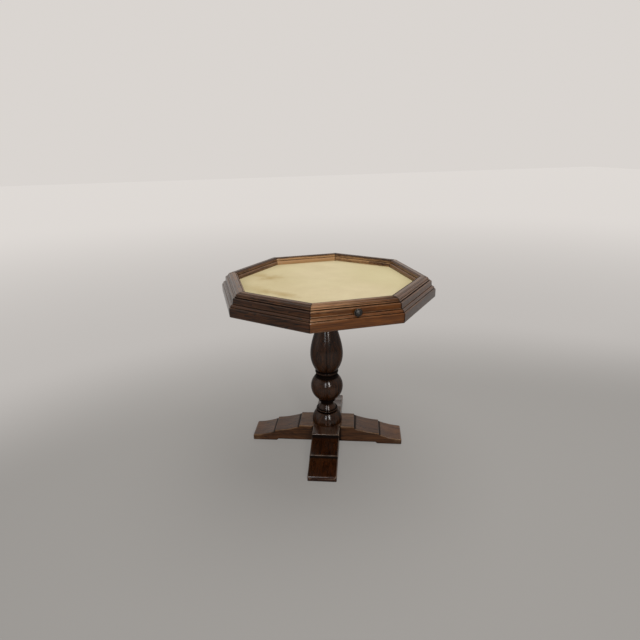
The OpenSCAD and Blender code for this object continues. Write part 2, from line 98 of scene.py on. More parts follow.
def reckon_vector(tree, how, *vectors):
    """One step of arithmetic on vectors; gives the output socket that holds its result."""
    made = add_node(tree, "ShaderNodeVectorMath", enumerate(vectors), operation=how)
    return made.outputs["Value" if how in ("LENGTH", "DISTANCE") else "Vector"]


def axes_of(tree, vector):
    """The X, Y and Z of a vector as three output sockets."""
    return add_node(tree, "ShaderNodeSeparateXYZ", [(0, vector)]).outputs


def ramp(tree, value, low, high, to_low=0.0, to_high=1.0):
    """A smooth step of a value between two levels."""
    made = add_node(tree, "ShaderNodeMapRange",
        [("Value", value), ("From Min", low), ("From Max", high), ("To Min", to_low),
            ("To Max", to_high)], interpolation_type="SMOOTHSTEP")
    return made.outputs["Result"]


def new_material(name):
    """Starts a material; gives it with its node tree and its shader."""
    made = bpy.data.materials.new(name)
    made.use_nodes = True
    return made, made.node_tree, made.node_tree.nodes["Principled BSDF"]


def object_place(tree):
    """Where a point lies, in metres from the frame's origin."""
    return add_node(tree, "ShaderNodeTexCoord").outputs["Object"]


# Colours: the surround on both sides, and the floor for bounced light, as it is seen, and
# as it glows
BLACK = (0, 0, 0, 1)
DIM_SURROUND, PALE_SURROUND = (0.25, 0.24, 0.232, 1), (0.70, 0.665, 0.635, 1)
FLOOR_BOUNCE, FLOOR_SEEN = (0.41, 0.392, 0.373, 1), (0.165, 0.158, 0.150, 1)
FLOOR_GLOW = (0.200, 0.191, 0.181, 1)


def surround_colour(tree, direction):
    """The studio's surround: pale behind the table, and dimmer on the side of the windows."""
    toward_back = axes_of(tree, reckon_vector(tree, "NORMALIZE", direction))[1]
    return blend(tree, ramp(tree, toward_back, -0.75, 0.35), DIM_SURROUND, PALE_SURROUND)


def seen_directly(tree):
    """1 for rays straight from the eye or through glass, 0.75 by way of gloss, 0 for others."""
    light_path = add_node(tree, "ShaderNodeLightPath").outputs
    mirrored = reckon(tree, "MULTIPLY", light_path["Is Glossy Ray"], 0.75)
    seen = reckon(tree, "MAXIMUM", light_path["Is Camera Ray"], mirrored)
    return reckon(tree, "MAXIMUM", seen, light_path["Is Transmission Ray"])


def studio_floor():
    """A pale floor that turns smoothly into the surround, on circles about a spot well in
    front of the table, so that the surround starts close behind it and far off in front.
    Seen directly, it glows a little in place of some of its colour, which softens shadows."""
    made, tree, shader = new_material("studio_floor")
    place = object_place(tree)
    away = reckon_vector(tree, "DISTANCE", place, (0, -1.2, 0))
    fade = ramp(tree, away, 1.45, 2.3)
    seen = seen_directly(tree)
    colour = blend(tree, fade, blend(tree, seen, FLOOR_BOUNCE, FLOOR_SEEN), BLACK)
    paler = ramp(tree, away, 1.8, 6.5, 0.72, 1.0)
    far_off = blend(tree, paler, BLACK, surround_colour(tree, place))
    glow = blend(tree, seen, BLACK, blend(tree, fade, FLOOR_GLOW, far_off))
    feed(tree, shader, [("Base Color", colour), ("Roughness", 0.75),
        ("Specular IOR Level", 0.15), ("Emission Color", glow), ("Emission Strength", 1.0)])
    return made


FLOOR_HALF, FLOOR_DROP = 12.0, 0.0004           # metres; the drop keeps it clear of the feet
floor_corners = FLOOR_HALF * np.array([[-1, -1, 0], [1, -1, 0], [1, 1, 0], [-1, 1, 0]], float)
floor = mesh_object("floor", floor_corners - [0, 0, FLOOR_DROP], [(0, 1, 2, 3)])
floor.data.materials.append(studio_floor())

surround = bpy.data.worlds.new("surround")
scene.world = surround
surround.use_nodes = True
sky = surround.node_tree
sky.nodes.clear()
level = ramp(sky, seen_directly(sky), 0.0, 1.0, 0.3, 1.0)
outward = add_node(sky, "ShaderNodeTexCoord").outputs["Generated"]
glow = add_node(sky, "ShaderNodeBackground",
    [("Color", surround_colour(sky, outward)), ("Strength", level)])
add_node(sky, "ShaderNodeOutputWorld", [("Surface", glow.outputs[0])])


def soft_light(name, place, aim, size, power, colour=(1, 1, 1)):
    """A rectangular area light that faces a point."""
    light = bpy.data.lights.new(name, "AREA")
    light.shape = "RECTANGLE"
    light.size, light.size_y = size
    light.energy = power
    light.color = colour
    made = bpy.data.objects.new(name, light)
    away = np.array(place, float) - np.array(aim, float)
    made.location = place
    made.rotation_euler = (math.atan2(math.hypot(away[0], away[1]), away[2]), 0,
        math.atan2(away[0], -away[1]))
    scene.collection.objects.link(made)
    return made


overhead = soft_light("overhead", (0.55, 0.5, 3.0), (0, 0, 0.5), (2.4, 2.4), 62)
overhead.visible_glossy = False
soft_light("window_left", (-1.35, -2.68, 1.75), (0, 0, 0.35), (0.25, 1.7), 16, (0.94, 0.97, 1))
soft_light("window_right", (0.17, -2.72, 1.75), (0, 0, 0.35), (0.30, 1.7), 26, (1, 0.97, 0.93))

# ---------------------------------------------------------------------------------------
# Rim. Eight lengths of oak moulding are run with one outer and one inner profile, mitred
# at 67.5 degrees and splined. They are stained walnut, glazed dark in the grooves,
# varnished, and pale with wear along the edges. Painted highlights, painted sheen, painted
# light and painted shade lie on some facets too. The front one is cut in two for the drawer.
# ---------------------------------------------------------------------------------------
TABLE_H, RIM_H = 550.0, 63.0
APOTHEM = 295.0
RIM_Z = TABLE_H - RIM_H
HALF = math.radians(22.5)                       # half the angle that one facet takes up
FACET_L = 244.4                                 # outer length of a facet
EASE = 0.45                                     # rounding of the mouldings' sharp edges
STEPS = 14                                      # straight steps along a small curve


def swell(x, y, w, h):
    """Quarter ellipse from (x, y), upright at first and level at its end: w(1-cos), h sin."""
    a = np.linspace(0, math.pi / 2, STEPS + 1)
    return np.c_[x + w * (1 - np.cos(a)), y + h * np.sin(a)]


def fall(x, y, w, h):
    """Quarter ellipse from (x, y), level at first and upright at its end: w sin, -h(1-cos)."""
    a = np.linspace(0, math.pi / 2, STEPS + 1)
    return np.c_[x + w * np.sin(a), y - h * (1 - np.cos(a))]


def eased(outline, radius, closed=True):
    """Rounds each corner of an outline that turns over 20 degrees. The corner gives way to
    the curve (1-t)^2 a + 2t(1-t) corner + t^2 b, with a and b on its two edges."""
    before, after = np.roll(outline, 1, 0), np.roll(outline, -1, 0)
    if not closed:
        before[0], after[-1] = outline[0], outline[-1]
    back, ahead = before - outline, after - outline
    lb, la = np.linalg.norm(back, axis=1), np.linalg.norm(ahead, axis=1)
    lb[lb == 0] = la[la == 0] = 1
    cosine = -(back * ahead).sum(1) / (lb * la)
    corner = cosine < math.cos(math.radians(20))
    if not closed:
        corner[0] = corner[-1] = False
    reach = np.where(corner, np.minimum(radius, 0.45 * np.minimum(lb, la)), 0)
    a = outline + back * (reach / lb)[:, None]
    b = outline + ahead * (reach / la)[:, None]
    t = np.array([0, 0.25, 0.5, 0.75, 1])[None, :, None]
    bent = (1 - t) ** 2 * a[:, None] + 2 * t * (1 - t) * outline[:, None] + t ** 2 * b[:, None]
    keep = np.repeat(corner[:, None], 5, 1)
    keep[:, 0] = True
    return bent[keep]


RIM_OUTSIDE = np.vstack([
    swell(0, 5, 5, -5)[::-1],                   # eased foot of the fascia
    swell(0, 22.5, 3.2, 5.2),                   # flat fascia and its rounded top edge
    [[4.6, 27.7], [4.6, 28.9]],                 # groove
    swell(3.6, 29.2, 6.8, 6.0),                 # torus
    [[11.6, 35.2], [11.6, 36.2]],               # quirk
    [[10.4, 36.4], [10.9, 37.5], [11.2, 39]],   # flared foot of the band
    swell(11.8, 48, 3.0, 3.0)])                 # upright band and rounded shoulder
RIM_TOP = np.vstack([
    swell(17.6, 52.6, 3.1, 2.9),                # small bead over the reveal
    [[22.1, 55.5], [22.1, 56.3]],
    swell(20.9, 56.3, 4.9, 4.6),                # nosing
    [[26.2, 60.1], [26.6, 60.5], [28.8, 61.95], [31, 62.6], [31, 63]],
    [[39.8, 63], [40.9, 63], [41.7, 61.4]],     # flat top and the line inside it
    fall(42.5, 63, 4, 9),                       # inner ovolo
    [[45.5, 53.4]],
    fall(47.7, 52.8, 3.9, 10.8),                # lower inner bead
    [[51.6, 41.0]]])
RIM_FULL = np.vstack([
    RIM_OUTSIDE, [[21.1, 51], [21.1, 52.6]], RIM_TOP, [[40, 41], [40, 1], [39, 0]]])
RIM_OVER_DRAWER = np.vstack([[[24.6, 28], [24.6, 52.6]], RIM_TOP, [[40, 41], [40, 28]]])
DRAWER_FACE = np.vstack([RIM_OUTSIDE, [[24, 51], [24, 0]]])
# Hollows that get wiped clean more than the others: inset, height, share of the glaze left
GLAZE_LEFT = ((31, 62.7, 0.5), (26.4, 60.3, 0.9), (22.1, 55.9, 0.8), (11.6, 35.7, 0.7),
    (45.5, 53.2, 0.8))


def edge_marks(outline, rubbed_width, glaze_width):
    """Amounts of wear and of glaze round a closed outline: the sum of each corner's turn, outward
    or inward, times exp(-(distance / width)^2) along the outline. The sign of the area that
    the outline holds tells which way is outward."""
    after = np.roll(outline, -1, 0)
    ahead, back = after - outline, outline - np.roll(outline, 1, 0)
    turn = np.arctan2(back[:, 0] * ahead[:, 1] - back[:, 1] * ahead[:, 0], (back * ahead).sum(1))
    along = np.cumsum(np.linalg.norm(back, axis=1))
    total = along[-1] + 1e-9
    apart = np.abs(along[:, None] - along[None, :])
    apart = np.minimum(apart, total - apart)
    turn *= np.sign(np.sum(outline[:, 0] * after[:, 1] - after[:, 0] * outline[:, 1]))
    wear_and_highlight = np.exp(-(apart / rubbed_width) ** 2) @ np.maximum(turn, 0)
    return wear_and_highlight, np.exp(-(apart / glaze_width) ** 2) @ np.maximum(-turn, 0)


def set_marks(piece, grain, wear_and_highlight, dirt_and_shade):
    """Stores where the wood's grain runs, its wear with any painted highlight, and its glaze
    and soil with any painted shade, at each vertex.
    """
    mesh = piece.data
    mesh.attributes.new("grain", "FLOAT_VECTOR", "POINT").data.foreach_set("vector", grain.ravel())
    mesh.attributes.new("wear_and_highlight", "FLOAT", "POINT").data.foreach_set("value", wear_and_highlight.ravel())
    mesh.attributes.new("dirt_and_shade", "FLOAT", "POINT").data.foreach_set("value", dirt_and_shade.ravel())


def grid_faces(rings, count, closed_ends):
    """Quads between neighbouring rings of count points each, and one face over each end."""
    i, j = np.meshgrid(np.arange(rings - 1), np.arange(count), indexing="ij")
    k = (j + 1) % count
    quads = np.stack([i * count + j, i * count + k, (i + 1) * count + k, (i + 1) * count + j], -1)
    faces = quads.reshape(-1, 4).tolist()
    if closed_ends:
        faces.append(list(range(count))[::-1])
        faces.append(list(range((rings - 1) * count, rings * count)))
    return faces


def mesh_volume(mesh):
    """Signed volume of a closed mesh: the sum over its triangles of a . (b x c) / 6."""
    mesh.calc_loop_triangles()
    corners = np.empty(len(mesh.vertices) * 3)
    mesh.vertices.foreach_get("co", corners)
    tris = np.empty(len(mesh.loop_triangles) * 3, np.int32)
    mesh.loop_triangles.foreach_get("vertices", tris)
    a, b, c = np.moveaxis(corners.reshape(-1, 3)[tris.reshape(-1, 3)], 1, 0)
    return float(np.einsum("ij,ij->", a, np.cross(b, c))) / 6


def finish_shell(piece, material, body, angle=32):
    """Turns the faces outwards, smooths all but the sharp edges and names what it rides on."""
    mesh = piece.data
    if mesh_volume(mesh) < 0:
        mesh.flip_normals()
    mesh.shade_smooth()
    mesh.set_sharp_from_angle(angle=math.radians(angle))
    mesh.materials.clear()
    mesh.materials.append(material)
    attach(piece, body)


def cut_from(piece, *cutters):
    """Takes the cutters' solids away from a piece and keeps the result as its mesh."""
    for cutter in cutters:
        step = piece.modifiers.new("cut", "BOOLEAN")
        step.operation = "DIFFERENCE"
        step.solver = "EXACT"
        step.object = cutter
    bpy.context.view_layer.update()
    finished = piece.evaluated_get(bpy.context.evaluated_depsgraph_get())
    cut = bpy.data.meshes.new_from_object(finished)
    piece.modifiers.clear()
    old, piece.data = piece.data, cut
    bpy.data.meshes.remove(old)
    cut.name = piece.name


def profile_marks(section, glaze, flat_wear_and_sheen, lip_wear_and_light):
    """Amounts of wear and of dark marks round a moulding's outline: those of its corners, changed
    on the flat top and the inner lip and by exp(-distance^2 / width) about some hollows. The
    flat top's paling is wear and painted sheen, the inner lip's is wear and painted light, and
    the reveal is darkened with painted shade."""
    inset, height = section[:, 0], section[:, 1]
    wear_and_highlight, dirt_and_shade = edge_marks(section, 1.3, 0.6)
    flat_top = np.clip((height - RIM_H + 1) / 0.6, 0, 1)
    # the inner lip, made pale by wear and by painted light where the lights and the cloth's bounce
    # fall
    lip = np.exp(-((height - 56.3) / 2.9) ** 2) + 0.8 * (height < 52.5)
    wear_and_highlight += max(flat_wear_and_sheen, 0) * flat_top + lip_wear_and_light * lip * (inset > 43.2)
    for at, level, share in GLAZE_LEFT:
        near = np.exp(-((inset - at) ** 2 + (height - level) ** 2) / 1.3)
        dirt_and_shade *= 1 - (1 - share) * near
    # painted shade in the deep reveal under the small bead, and the line inside the flat top
    dirt_and_shade += 1.2 * ((height > 50.7) & (height < 53.3) & (np.abs(inset - 22) < 7))
    dirt_and_shade += 1.3 * np.exp(-((inset - 42.2) ** 2 + (height - 61.9) ** 2) / 3.5)
    return wear_and_highlight, dirt_and_shade * glaze + max(-flat_wear_and_sheen, 0) * flat_top


def moulding(name, facet, outline, gap=0.0, glaze=1.0, flat_wear_and_sheen=0.5, lip_wear_and_light=0.35,
        corner_highlight=0.0):
    """A length of moulding on one facet of the octagon. An outline point with inset d and
    height h runs along the facet's edge direction t from one mitre to the other:
    n (apothem - d) + t s (apothem - d) tan(22.5 deg) + z (rim + h), for s from -1 to 1.
    Its flat-top setting above 0 pales the flat top with wear and painted sheen, and below 0
    darkens it. Its corner setting paints a highlight, in the colour of wear, on the edges of
    the left half, strongest at its end, and darkens the right end."""
    section = eased(outline, EASE)
    inset, height = section[:, 0], section[:, 1]
    wear_and_highlight, dirt_and_shade = profile_marks(section, glaze, flat_wear_and_sheen, lip_wear_and_light)
    # shares of the length, close together near the mitres
    run = np.r_[0, 0.35, 0.9, 2.2, 5, 11, 22, np.linspace(30, 180.5, 11)] / FACET_L
    run = np.unique(np.round(np.clip(np.r_[run, 1 - run[::-1]], 0, 1), 7))
    s = 2 * run - 1
    from_left, from_right = run * FACET_L, (1 - run) * FACET_L
    end_gap = np.minimum(from_left, from_right)
    ahead, back = np.roll(section, -1, 0) - section, section - np.roll(section, 1, 0)
    side = sum(v / np.linalg.norm(v, axis=1)[:, None] for v in (ahead, back))
    outward = np.c_[-side[:, 1], side[:, 0]]
    outward /= np.linalg.norm(outward, axis=1)[:, None] + 1e-9
    # the hand plane's waver, and the fine line that is left open at each mitre; both only
    # where the moulding shows
    waver = 0.07 * (np.sin(9 * s + 2.1 * facet) + 0.7 * np.sin(23 * s + 1.3 * facet) - 1.7)
    waver = waver * np.clip((end_gap - 4) / 20, 0, 1) - 0.22 * np.exp(-(end_gap / 0.5) ** 2)
    visible = (inset < 51) & (height > 0.5) & ~((inset > 23.9) & (height < 40))
    nudge = np.where(visible[None, :], waver[:, None], 0)
    d = inset[None, :] + nudge * outward[None, :, 0]
    h = height[None, :] + nudge * outward[None, :, 1]
    turn = facet * 2 * HALF
    n = np.array([math.sin(turn), -math.cos(turn), 0])
    t = np.array([math.cos(turn), math.sin(turn), 0])
    reach = (APOTHEM - d) * math.tan(HALF) - gap / math.cos(HALF)
    along = s[:, None] * reach
    points = n * (APOTHEM - d)[..., None] + t * along[..., None]
    points[..., 2] = RIM_Z + h
    piece = mesh_object(name, points.reshape(-1, 3) / 1000, grid_faces(len(s), len(section), True))
    # each facet's wood comes from another part of the tree
    grain = np.stack([along / 1000 + 1.37 * facet, d / 1000 + 0.11 * facet, h / 1000], -1)
    at_mitre = np.exp(-(end_gap / 0.7) ** 2) + 0.25 * np.exp(-(end_gap / 4) ** 2)
    # dark joints at the mitres, and a darkening of the right end
    darker = 0.8 * at_mitre + 0.12 * corner_highlight * np.exp(-from_right / 60)
    soiled_and_shaded = dirt_and_shade[None, :] + darker[:, None]
    # painted highlight: the left half's edges, and the upper rows near the left end, take the pale
    # colour where the light falls
    painted_highlight = 0.25 * corner_highlight * np.clip((height - 30) / 5, 0, 1)
    wear_and_highlight = (wear_and_highlight[None, :] * (1 + corner_highlight * np.exp(-from_left / 45))[:, None]
        + painted_highlight[None, :] * np.exp(-(from_left / 120) ** 2)[:, None])
    # the sawn mitre itself is only stained
    sawn = (end_gap < 0.1)[:, None]
    set_marks(piece, grain, np.where(sawn, 0, wear_and_highlight), np.where(sawn, 0.2, soiled_and_shaded))
    return piece


def new_group(name, inputs, outputs):
    """Starts a shader node group with named sockets."""
    group = bpy.data.node_groups.new(name, "ShaderNodeTree")
    kinds = {"v": "NodeSocketVector", "f": "NodeSocketFloat", "c": "NodeSocketColor"}
    for label, kind, value in inputs:
        socket = group.interface.new_socket(label, in_out="INPUT", socket_type=kinds[kind])
        if value is not None:
            socket.default_value = value
    for label, kind in outputs:
        group.interface.new_socket(label, in_out="OUTPUT", socket_type=kinds[kind])
    return group, group.nodes.new("NodeGroupInput").outputs, group.nodes.new("NodeGroupOutput")


def noise_at(tree, vector, stretch, detail=3.0, rough=0.55, distort=0.0):
    """Noise on coordinates multiplied by a stretch, so a small number is a long feature."""
    scaled = reckon_vector(tree, "MULTIPLY", vector, stretch)
    made = add_node(tree, "ShaderNodeTexNoise", [("Vector", scaled), ("Scale", 1.0),
        ("Detail", detail), ("Roughness", rough), ("Distortion", distort)])
    return made.outputs[0]


def add_relief(tree, shader, height, strength, distance):
    """Bumps a shader's surface by a height; the distance is in metres."""
    bump = add_node(tree, "ShaderNodeBump",
        [("Height", height), ("Strength", strength), ("Distance", distance)])
    feed(tree, shader, [("Normal", bump.outputs[0])])


def oak_grain_group():
    """Oak figure on coordinates whose X runs along the grain, in metres: slow bands of tone,
    growth rings bent by noise, fine fibres, and short open pores."""
    tree, given, out = new_group("oak_grain",
        [("Coordinates", "v", None), ("Dark", "c", (0.02, 0.01, 0.005, 1)),
            ("Light", "c", (0.1, 0.05, 0.02, 1)), ("Ring Depth", "f", 0.5),
            ("Pore Depth", "f", 0.6)],
        [("Color", "c"), ("Height", "f")])
    place = given["Coordinates"]
    bands = noise_at(tree, place, (3.2, 38, 38), 3, 0.55, 0.4)
    flow = noise_at(tree, place, (5.0, 30, 30), 2)
    fibres = noise_at(tree, place, (26, 900, 900), 3, 0.6)
    streaks = noise_at(tree, place, (9, 210, 210), 3, 0.6, 0.2)
    across = axes_of(tree, place)
    depth = reckon(tree, "MULTIPLY", across[1], 150.0)
    depth = reckon(tree, "MULTIPLY_ADD", across[2], 95.0, depth)
    rings = reckon(tree, "MULTIPLY_ADD", flow, 13.0, depth)
    rings = reckon(tree, "POWER", reckon(tree, "FRACT", rings), 2.4)
    tone = reckon(tree, "MULTIPLY_ADD", ramp(tree, bands, 0.32, 0.68), 0.46, -0.03)
    tone = reckon(tree, "MULTIPLY_ADD", ramp(tree, streaks, 0.36, 0.64), 0.42, tone)
    tone = reckon(tree, "MULTIPLY_ADD", fibres, 0.30, tone)
    ring_tone = reckon(tree, "MULTIPLY", rings, reckon(tree, "MULTIPLY", given["Ring Depth"], 0.45))
    tone = reckon(tree, "SUBTRACT", tone, ring_tone)
    tone = reckon(tree, "MINIMUM", reckon(tree, "MAXIMUM", tone, 0.0), 1.0)
    colour = blend(tree, tone, given["Dark"], given["Light"])
    short = noise_at(tree, place, (75, 2600, 2600), 1, 0.5)
    in_rings = ramp(tree, rings, 0.05, 0.5, 0.35, 1.0)
    pores = reckon(tree, "MULTIPLY", ramp(tree, short, 0.60, 0.70), in_rings)
    dark_pore = blend(tree, 1.0, colour, (0.35, 0.30, 0.28, 1), "MULTIPLY")
    colour = blend(tree, reckon(tree, "MULTIPLY", pores, given["Pore Depth"]), colour, dark_pore)
    height = reckon(tree, "SUBTRACT", reckon(tree, "MULTIPLY", fibres, 0.35),
        reckon(tree, "MULTIPLY", pores, 0.8))
    feed(tree, out, [("Color", colour), ("Height", height)])
    return tree


def wear_and_light_masks_group():
    """Masks for the pale edges, from wear and painted highlights, and for the dark marks, from
    glaze, soil and painted shade, broken up by noise.
    """
    tree, given, out = new_group("wear_and_light_masks",
        [("Coordinates", "v", None), ("Wear And Highlight", "f", 0.0), ("Dirt And Shade", "f", 0.0)],
        [("Rubbed And Lit", "f"), ("Dirt And Shade Mask", "f")])
    patch = noise_at(tree, given["Coordinates"], (14, 55, 55), 4, 0.62)
    fine = noise_at(tree, given["Coordinates"], (90, 420, 420), 3, 0.6)
    ragged = reckon(tree, "MULTIPLY_ADD", fine, 0.7, reckon(tree, "MULTIPLY", patch, 1.3))
    bare = reckon(tree, "MAXIMUM", reckon(tree, "MULTIPLY_ADD", given["Wear And Highlight"], 0.35, -0.5), 0.0)
    held = ramp(tree, reckon(tree, "ADD", ragged, bare), 0.72, 1.28)
    rubbed_and_lit = reckon(tree, "MULTIPLY", ramp(tree, given["Wear And Highlight"], 0.15, 1.5), held)
    dirt_and_shade_mask = reckon(tree, "MULTIPLY", ramp(tree, given["Dirt And Shade"], 0.05, 1.0),
        ramp(tree, ragged, 0.4, 0.95, 0.72, 1.0))
    feed(tree, out, [("Rubbed And Lit", rubbed_and_lit), ("Dirt And Shade Mask", dirt_and_shade_mask)])
    return tree


OAK_GRAIN = oak_grain_group()
WEAR_AND_LIGHT_MASKS = wear_and_light_masks_group()
# the colour of glaze, soil and painted shade
GRIME_AND_SHADE = (0.007, 0.004, 0.003, 1)


def attribute_of(tree, name, output="Fac"):
    """One of the piece's own vertex attributes."""
    return add_node(tree, "ShaderNodeAttribute", attribute_name=name).outputs[output]


def varnished_oak(name, dark, light, rubbed_and_lit, pale_share=0.75, roughness=0.34, rings=0.8, coat=0.8,
        coat_ior=1.5, coat_roughness=0.14, edge_gloss=1.0, grime_and_shade_gloss=0.0):
    """Stained and varnished oak that reads the piece's grain attribute and its two mark
    attributes, one for wear with painted highlights and one for glaze and soil with painted
    shade. The varnish is thinner where the edges are pale, only its gloss share for dark marks
    shows over them, and only edge_gloss of it at a low angle."""
    made, tree, shader = new_material(name)
    place = attribute_of(tree, "grain", "Vector")
    wear_and_highlight, dirt_and_shade = attribute_of(tree, "wear_and_highlight"), attribute_of(tree, "dirt_and_shade")
    grain = add_node(tree, "ShaderNodeGroup", node_tree=OAK_GRAIN)
    feed(tree, grain, [("Coordinates", place), ("Dark", (*dark, 1)), ("Light", (*light, 1)),
        ("Ring Depth", rings)])
    edges = add_node(tree, "ShaderNodeGroup", node_tree=WEAR_AND_LIGHT_MASKS)
    feed(tree, edges, [("Coordinates", place), ("Wear And Highlight", wear_and_highlight), ("Dirt And Shade", dirt_and_shade)])
    dirt_and_shade_mask = edges.outputs["Dirt And Shade Mask"]
    rubbed_and_lit_mask = reckon(tree, "MULTIPLY", edges.outputs["Rubbed And Lit"], pale_share)
    # pale with wear and painted highlights, then dark with glaze, soil and painted shade
    colour = blend(tree, rubbed_and_lit_mask, grain.outputs["Color"], (*rubbed_and_lit, 1))
    colour = blend(tree, dirt_and_shade_mask, colour, GRIME_AND_SHADE)
    dull = noise_at(tree, place, (18, 40, 40), 3)
    rough = reckon(tree, "MULTIPLY_ADD", dull, 0.16, roughness - 0.08)
    rough = reckon(tree, "MULTIPLY_ADD", dirt_and_shade_mask, 0.3, rough)
    rough = reckon(tree, "MULTIPLY_ADD", rubbed_and_lit_mask, 0.12, rough)
    low_angle = add_node(tree, "ShaderNodeLayerWeight", [("Blend", 0.5)]).outputs["Facing"]
    gloss = ramp(tree, low_angle, 0.12, 0.5, coat, coat * edge_gloss)
    gloss = reckon(tree, "MULTIPLY", gloss, ramp(tree, dirt_and_shade_mask, 0.0, 1.0, 1.0, grime_and_shade_gloss))
    gloss = reckon(tree, "MULTIPLY", gloss, reckon(tree, "MULTIPLY_ADD", rubbed_and_lit_mask, -0.5, 1.0))
    feed(tree, shader, [("Base Color", colour), ("Roughness", rough), ("Coat Weight", gloss),
        ("Coat Roughness", coat_roughness), ("Coat IOR", coat_ior),
        ("Specular IOR Level", 0.12 * edge_gloss)])
    add_relief(tree, shader, grain.outputs["Height"], 0.28, 0.0004)
    return made


# Each wood's dark and light figure, and the colour of its wear and painted highlights; the
# shaded and lit copies of the rim oak are painted shade and painted light on their facets
RIM_OAK = varnished_oak("rim_oak", (0.018, 0.0060, 0.0020), (0.110, 0.040, 0.0110),
    (0.26, 0.140, 0.070), pale_share=0.7, coat_ior=1.46, grime_and_shade_gloss=0.45)
# its paler colour of wear is partly painted light on the inner lips of the far rails
PALE_WEAR_AND_LIGHT_RIM_OAK = varnished_oak("pale_wear_and_light_rim_oak", (0.018, 0.0060, 0.0020), (0.110, 0.040, 0.0110),
    (0.50, 0.285, 0.130), pale_share=0.88, coat_ior=1.46, grime_and_shade_gloss=0.45)
# painted shade: a darker copy of the rim oak for the front-left rail, which is turned from the
# lights
SHADED_RIM_OAK = varnished_oak("shaded_rim_oak", (0.004, 0.0018, 0.0009), (0.098, 0.034, 0.0105),
    (0.22, 0.108, 0.050), pale_share=0.6, rings=1.5, coat_ior=1.42, grime_and_shade_gloss=0.1)
# painted light: a lighter copy of the rim oak for the front facet, which faces the lights
LIT_DRAWER_OAK = varnished_oak("lit_drawer_oak", (0.045, 0.0135, 0.0028), (0.235, 0.074, 0.0110),
    (0.42, 0.225, 0.105), pale_share=0.7, rings=0.5, coat_ior=1.45)

# Each rail's node, anticlockwise: its wood, the glaze left in its lines, the wear and painted
# sheen of its flat top, which below 0 is a darkening, and the wear and painted light of its inner
# lip
RAILS = (("rail_front_right", RIM_OAK, 0.8, 0.15, 0.3), ("rail_right", RIM_OAK, 0.8, 0.0, 2.4),
    ("rail_back_right", PALE_WEAR_AND_LIGHT_RIM_OAK, 1.0, -0.35, 1.5),
    ("rail_back", PALE_WEAR_AND_LIGHT_RIM_OAK, 0.9, -0.35, 4.0),
    ("rail_back_left", RIM_OAK, 0.9, -0.3, 1.5), ("rail_left", RIM_OAK, 0.25, 0.3, 0.0),
    ("rail_front_left", SHADED_RIM_OAK, 1.0, 0.4, 0.3))

for number, (label, wood, glaze, flat_wear_and_sheen, lip_wear_and_light) in enumerate(RAILS, 1):
    rail = moulding(label + "_moulding", number, RIM_FULL, glaze=glaze, flat_wear_and_sheen=flat_wear_and_sheen,
        lip_wear_and_light=lip_wear_and_light)
    cut_from(rail, cad["mitre_splines"], cad["bearer"])
    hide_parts(label)
    finish_shell(rail, wood, "table")

# painted highlight on the left end of the rail over the drawer
over_drawer = moulding("drawer_rail_moulding", 0, RIM_OVER_DRAWER, corner_highlight=3.2)
cut_from(over_drawer, cad["mitre_splines"])
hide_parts("drawer_rail")
finish_shell(over_drawer, LIT_DRAWER_OAK, "table")

# ---------------------------------------------------------------------------------------
# Mitre splines, playing board, bearer, corner blocks, runners and drawer stop. Joinery
# hidden under the cloth: plywood splines and board, and planed oak, beech and pine that
# are left bare.
# ---------------------------------------------------------------------------------------
DARK_PLY_LAYER, TIMBER_STAIN = (0.16, 0.085, 0.04, 1), (0.17, 0.10, 0.055, 1)


def bare_timber(name, dark, light, turn=(0, 0, 0), ply=0.0):
    """Unfinished wood on Object coordinates turned so that X runs along the grain. With ply
    above 0 the upright faces show the layers of a board that many metres apart."""
    made, tree, shader = new_material(name)
    place = object_place(tree)
    along = add_node(tree, "ShaderNodeMapping", [("Vector", place), ("Rotation", turn)]).outputs[0]
    grain = add_node(tree, "ShaderNodeGroup", node_tree=OAK_GRAIN)
    feed(tree, grain, [("Coordinates", along), ("Dark", (*dark, 1)), ("Light", (*light, 1)),
        ("Pore Depth", 0.35)])
    colour = grain.outputs["Color"]
    if ply:
        facing_up = axes_of(tree, add_node(tree, "ShaderNodeNewGeometry").outputs["Normal"])[2]
        edge = ramp(tree, reckon(tree, "ABSOLUTE", facing_up), 0.5, 0.2)
        layer = reckon(tree, "MULTIPLY", axes_of(tree, place)[2], 1 / ply)
        layer = ramp(tree, reckon(tree, "PINGPONG", layer, 1.0), 0.42, 0.58)
        layer = reckon(tree, "MULTIPLY", reckon(tree, "MULTIPLY", edge, layer), 0.7)
        colour = blend(tree, layer, colour, DARK_PLY_LAYER)
    stain = noise_at(tree, place, (9, 9, 9), 4, 0.6)
    colour = blend(tree, ramp(tree, stain, 0.5, 0.8, 0.0, 0.35), colour, TIMBER_STAIN)
    rough = reckon(tree, "MULTIPLY_ADD", stain, 0.14, 0.55)
    feed(tree, shader, [("Base Color", colour), ("Roughness", rough)])
    add_relief(tree, shader, grain.outputs["Height"], 0.35, 0.0004)
    return made


def dress(material, *labels):
    """Gives CAD pieces that keep their own shape a material."""
    for label in labels:
        cad[label].data.materials.clear()
        cad[label].data.materials.append(material)


ACROSS, UPRIGHT = (0, 0, math.pi / 2), (0, math.pi / 2, 0)      # turns that lay the grain so
dress(bare_timber("plywood", (0.40, 0.25, 0.125), (0.62, 0.44, 0.26), ply=0.0017),
    "mitre_splines", "playing_board")
dress(bare_timber("planed_oak", (0.27, 0.155, 0.075), (0.47, 0.31, 0.17)), "bearer", "drawer_stop")
dress(bare_timber("block_pine", (0.45, 0.28, 0.13), (0.62, 0.44, 0.25), UPRIGHT), "corner_blocks")
dress(bare_timber("runner_beech", (0.38, 0.22, 0.11), (0.56, 0.37, 0.21), ACROSS),
    "runner_left", "runner_right")

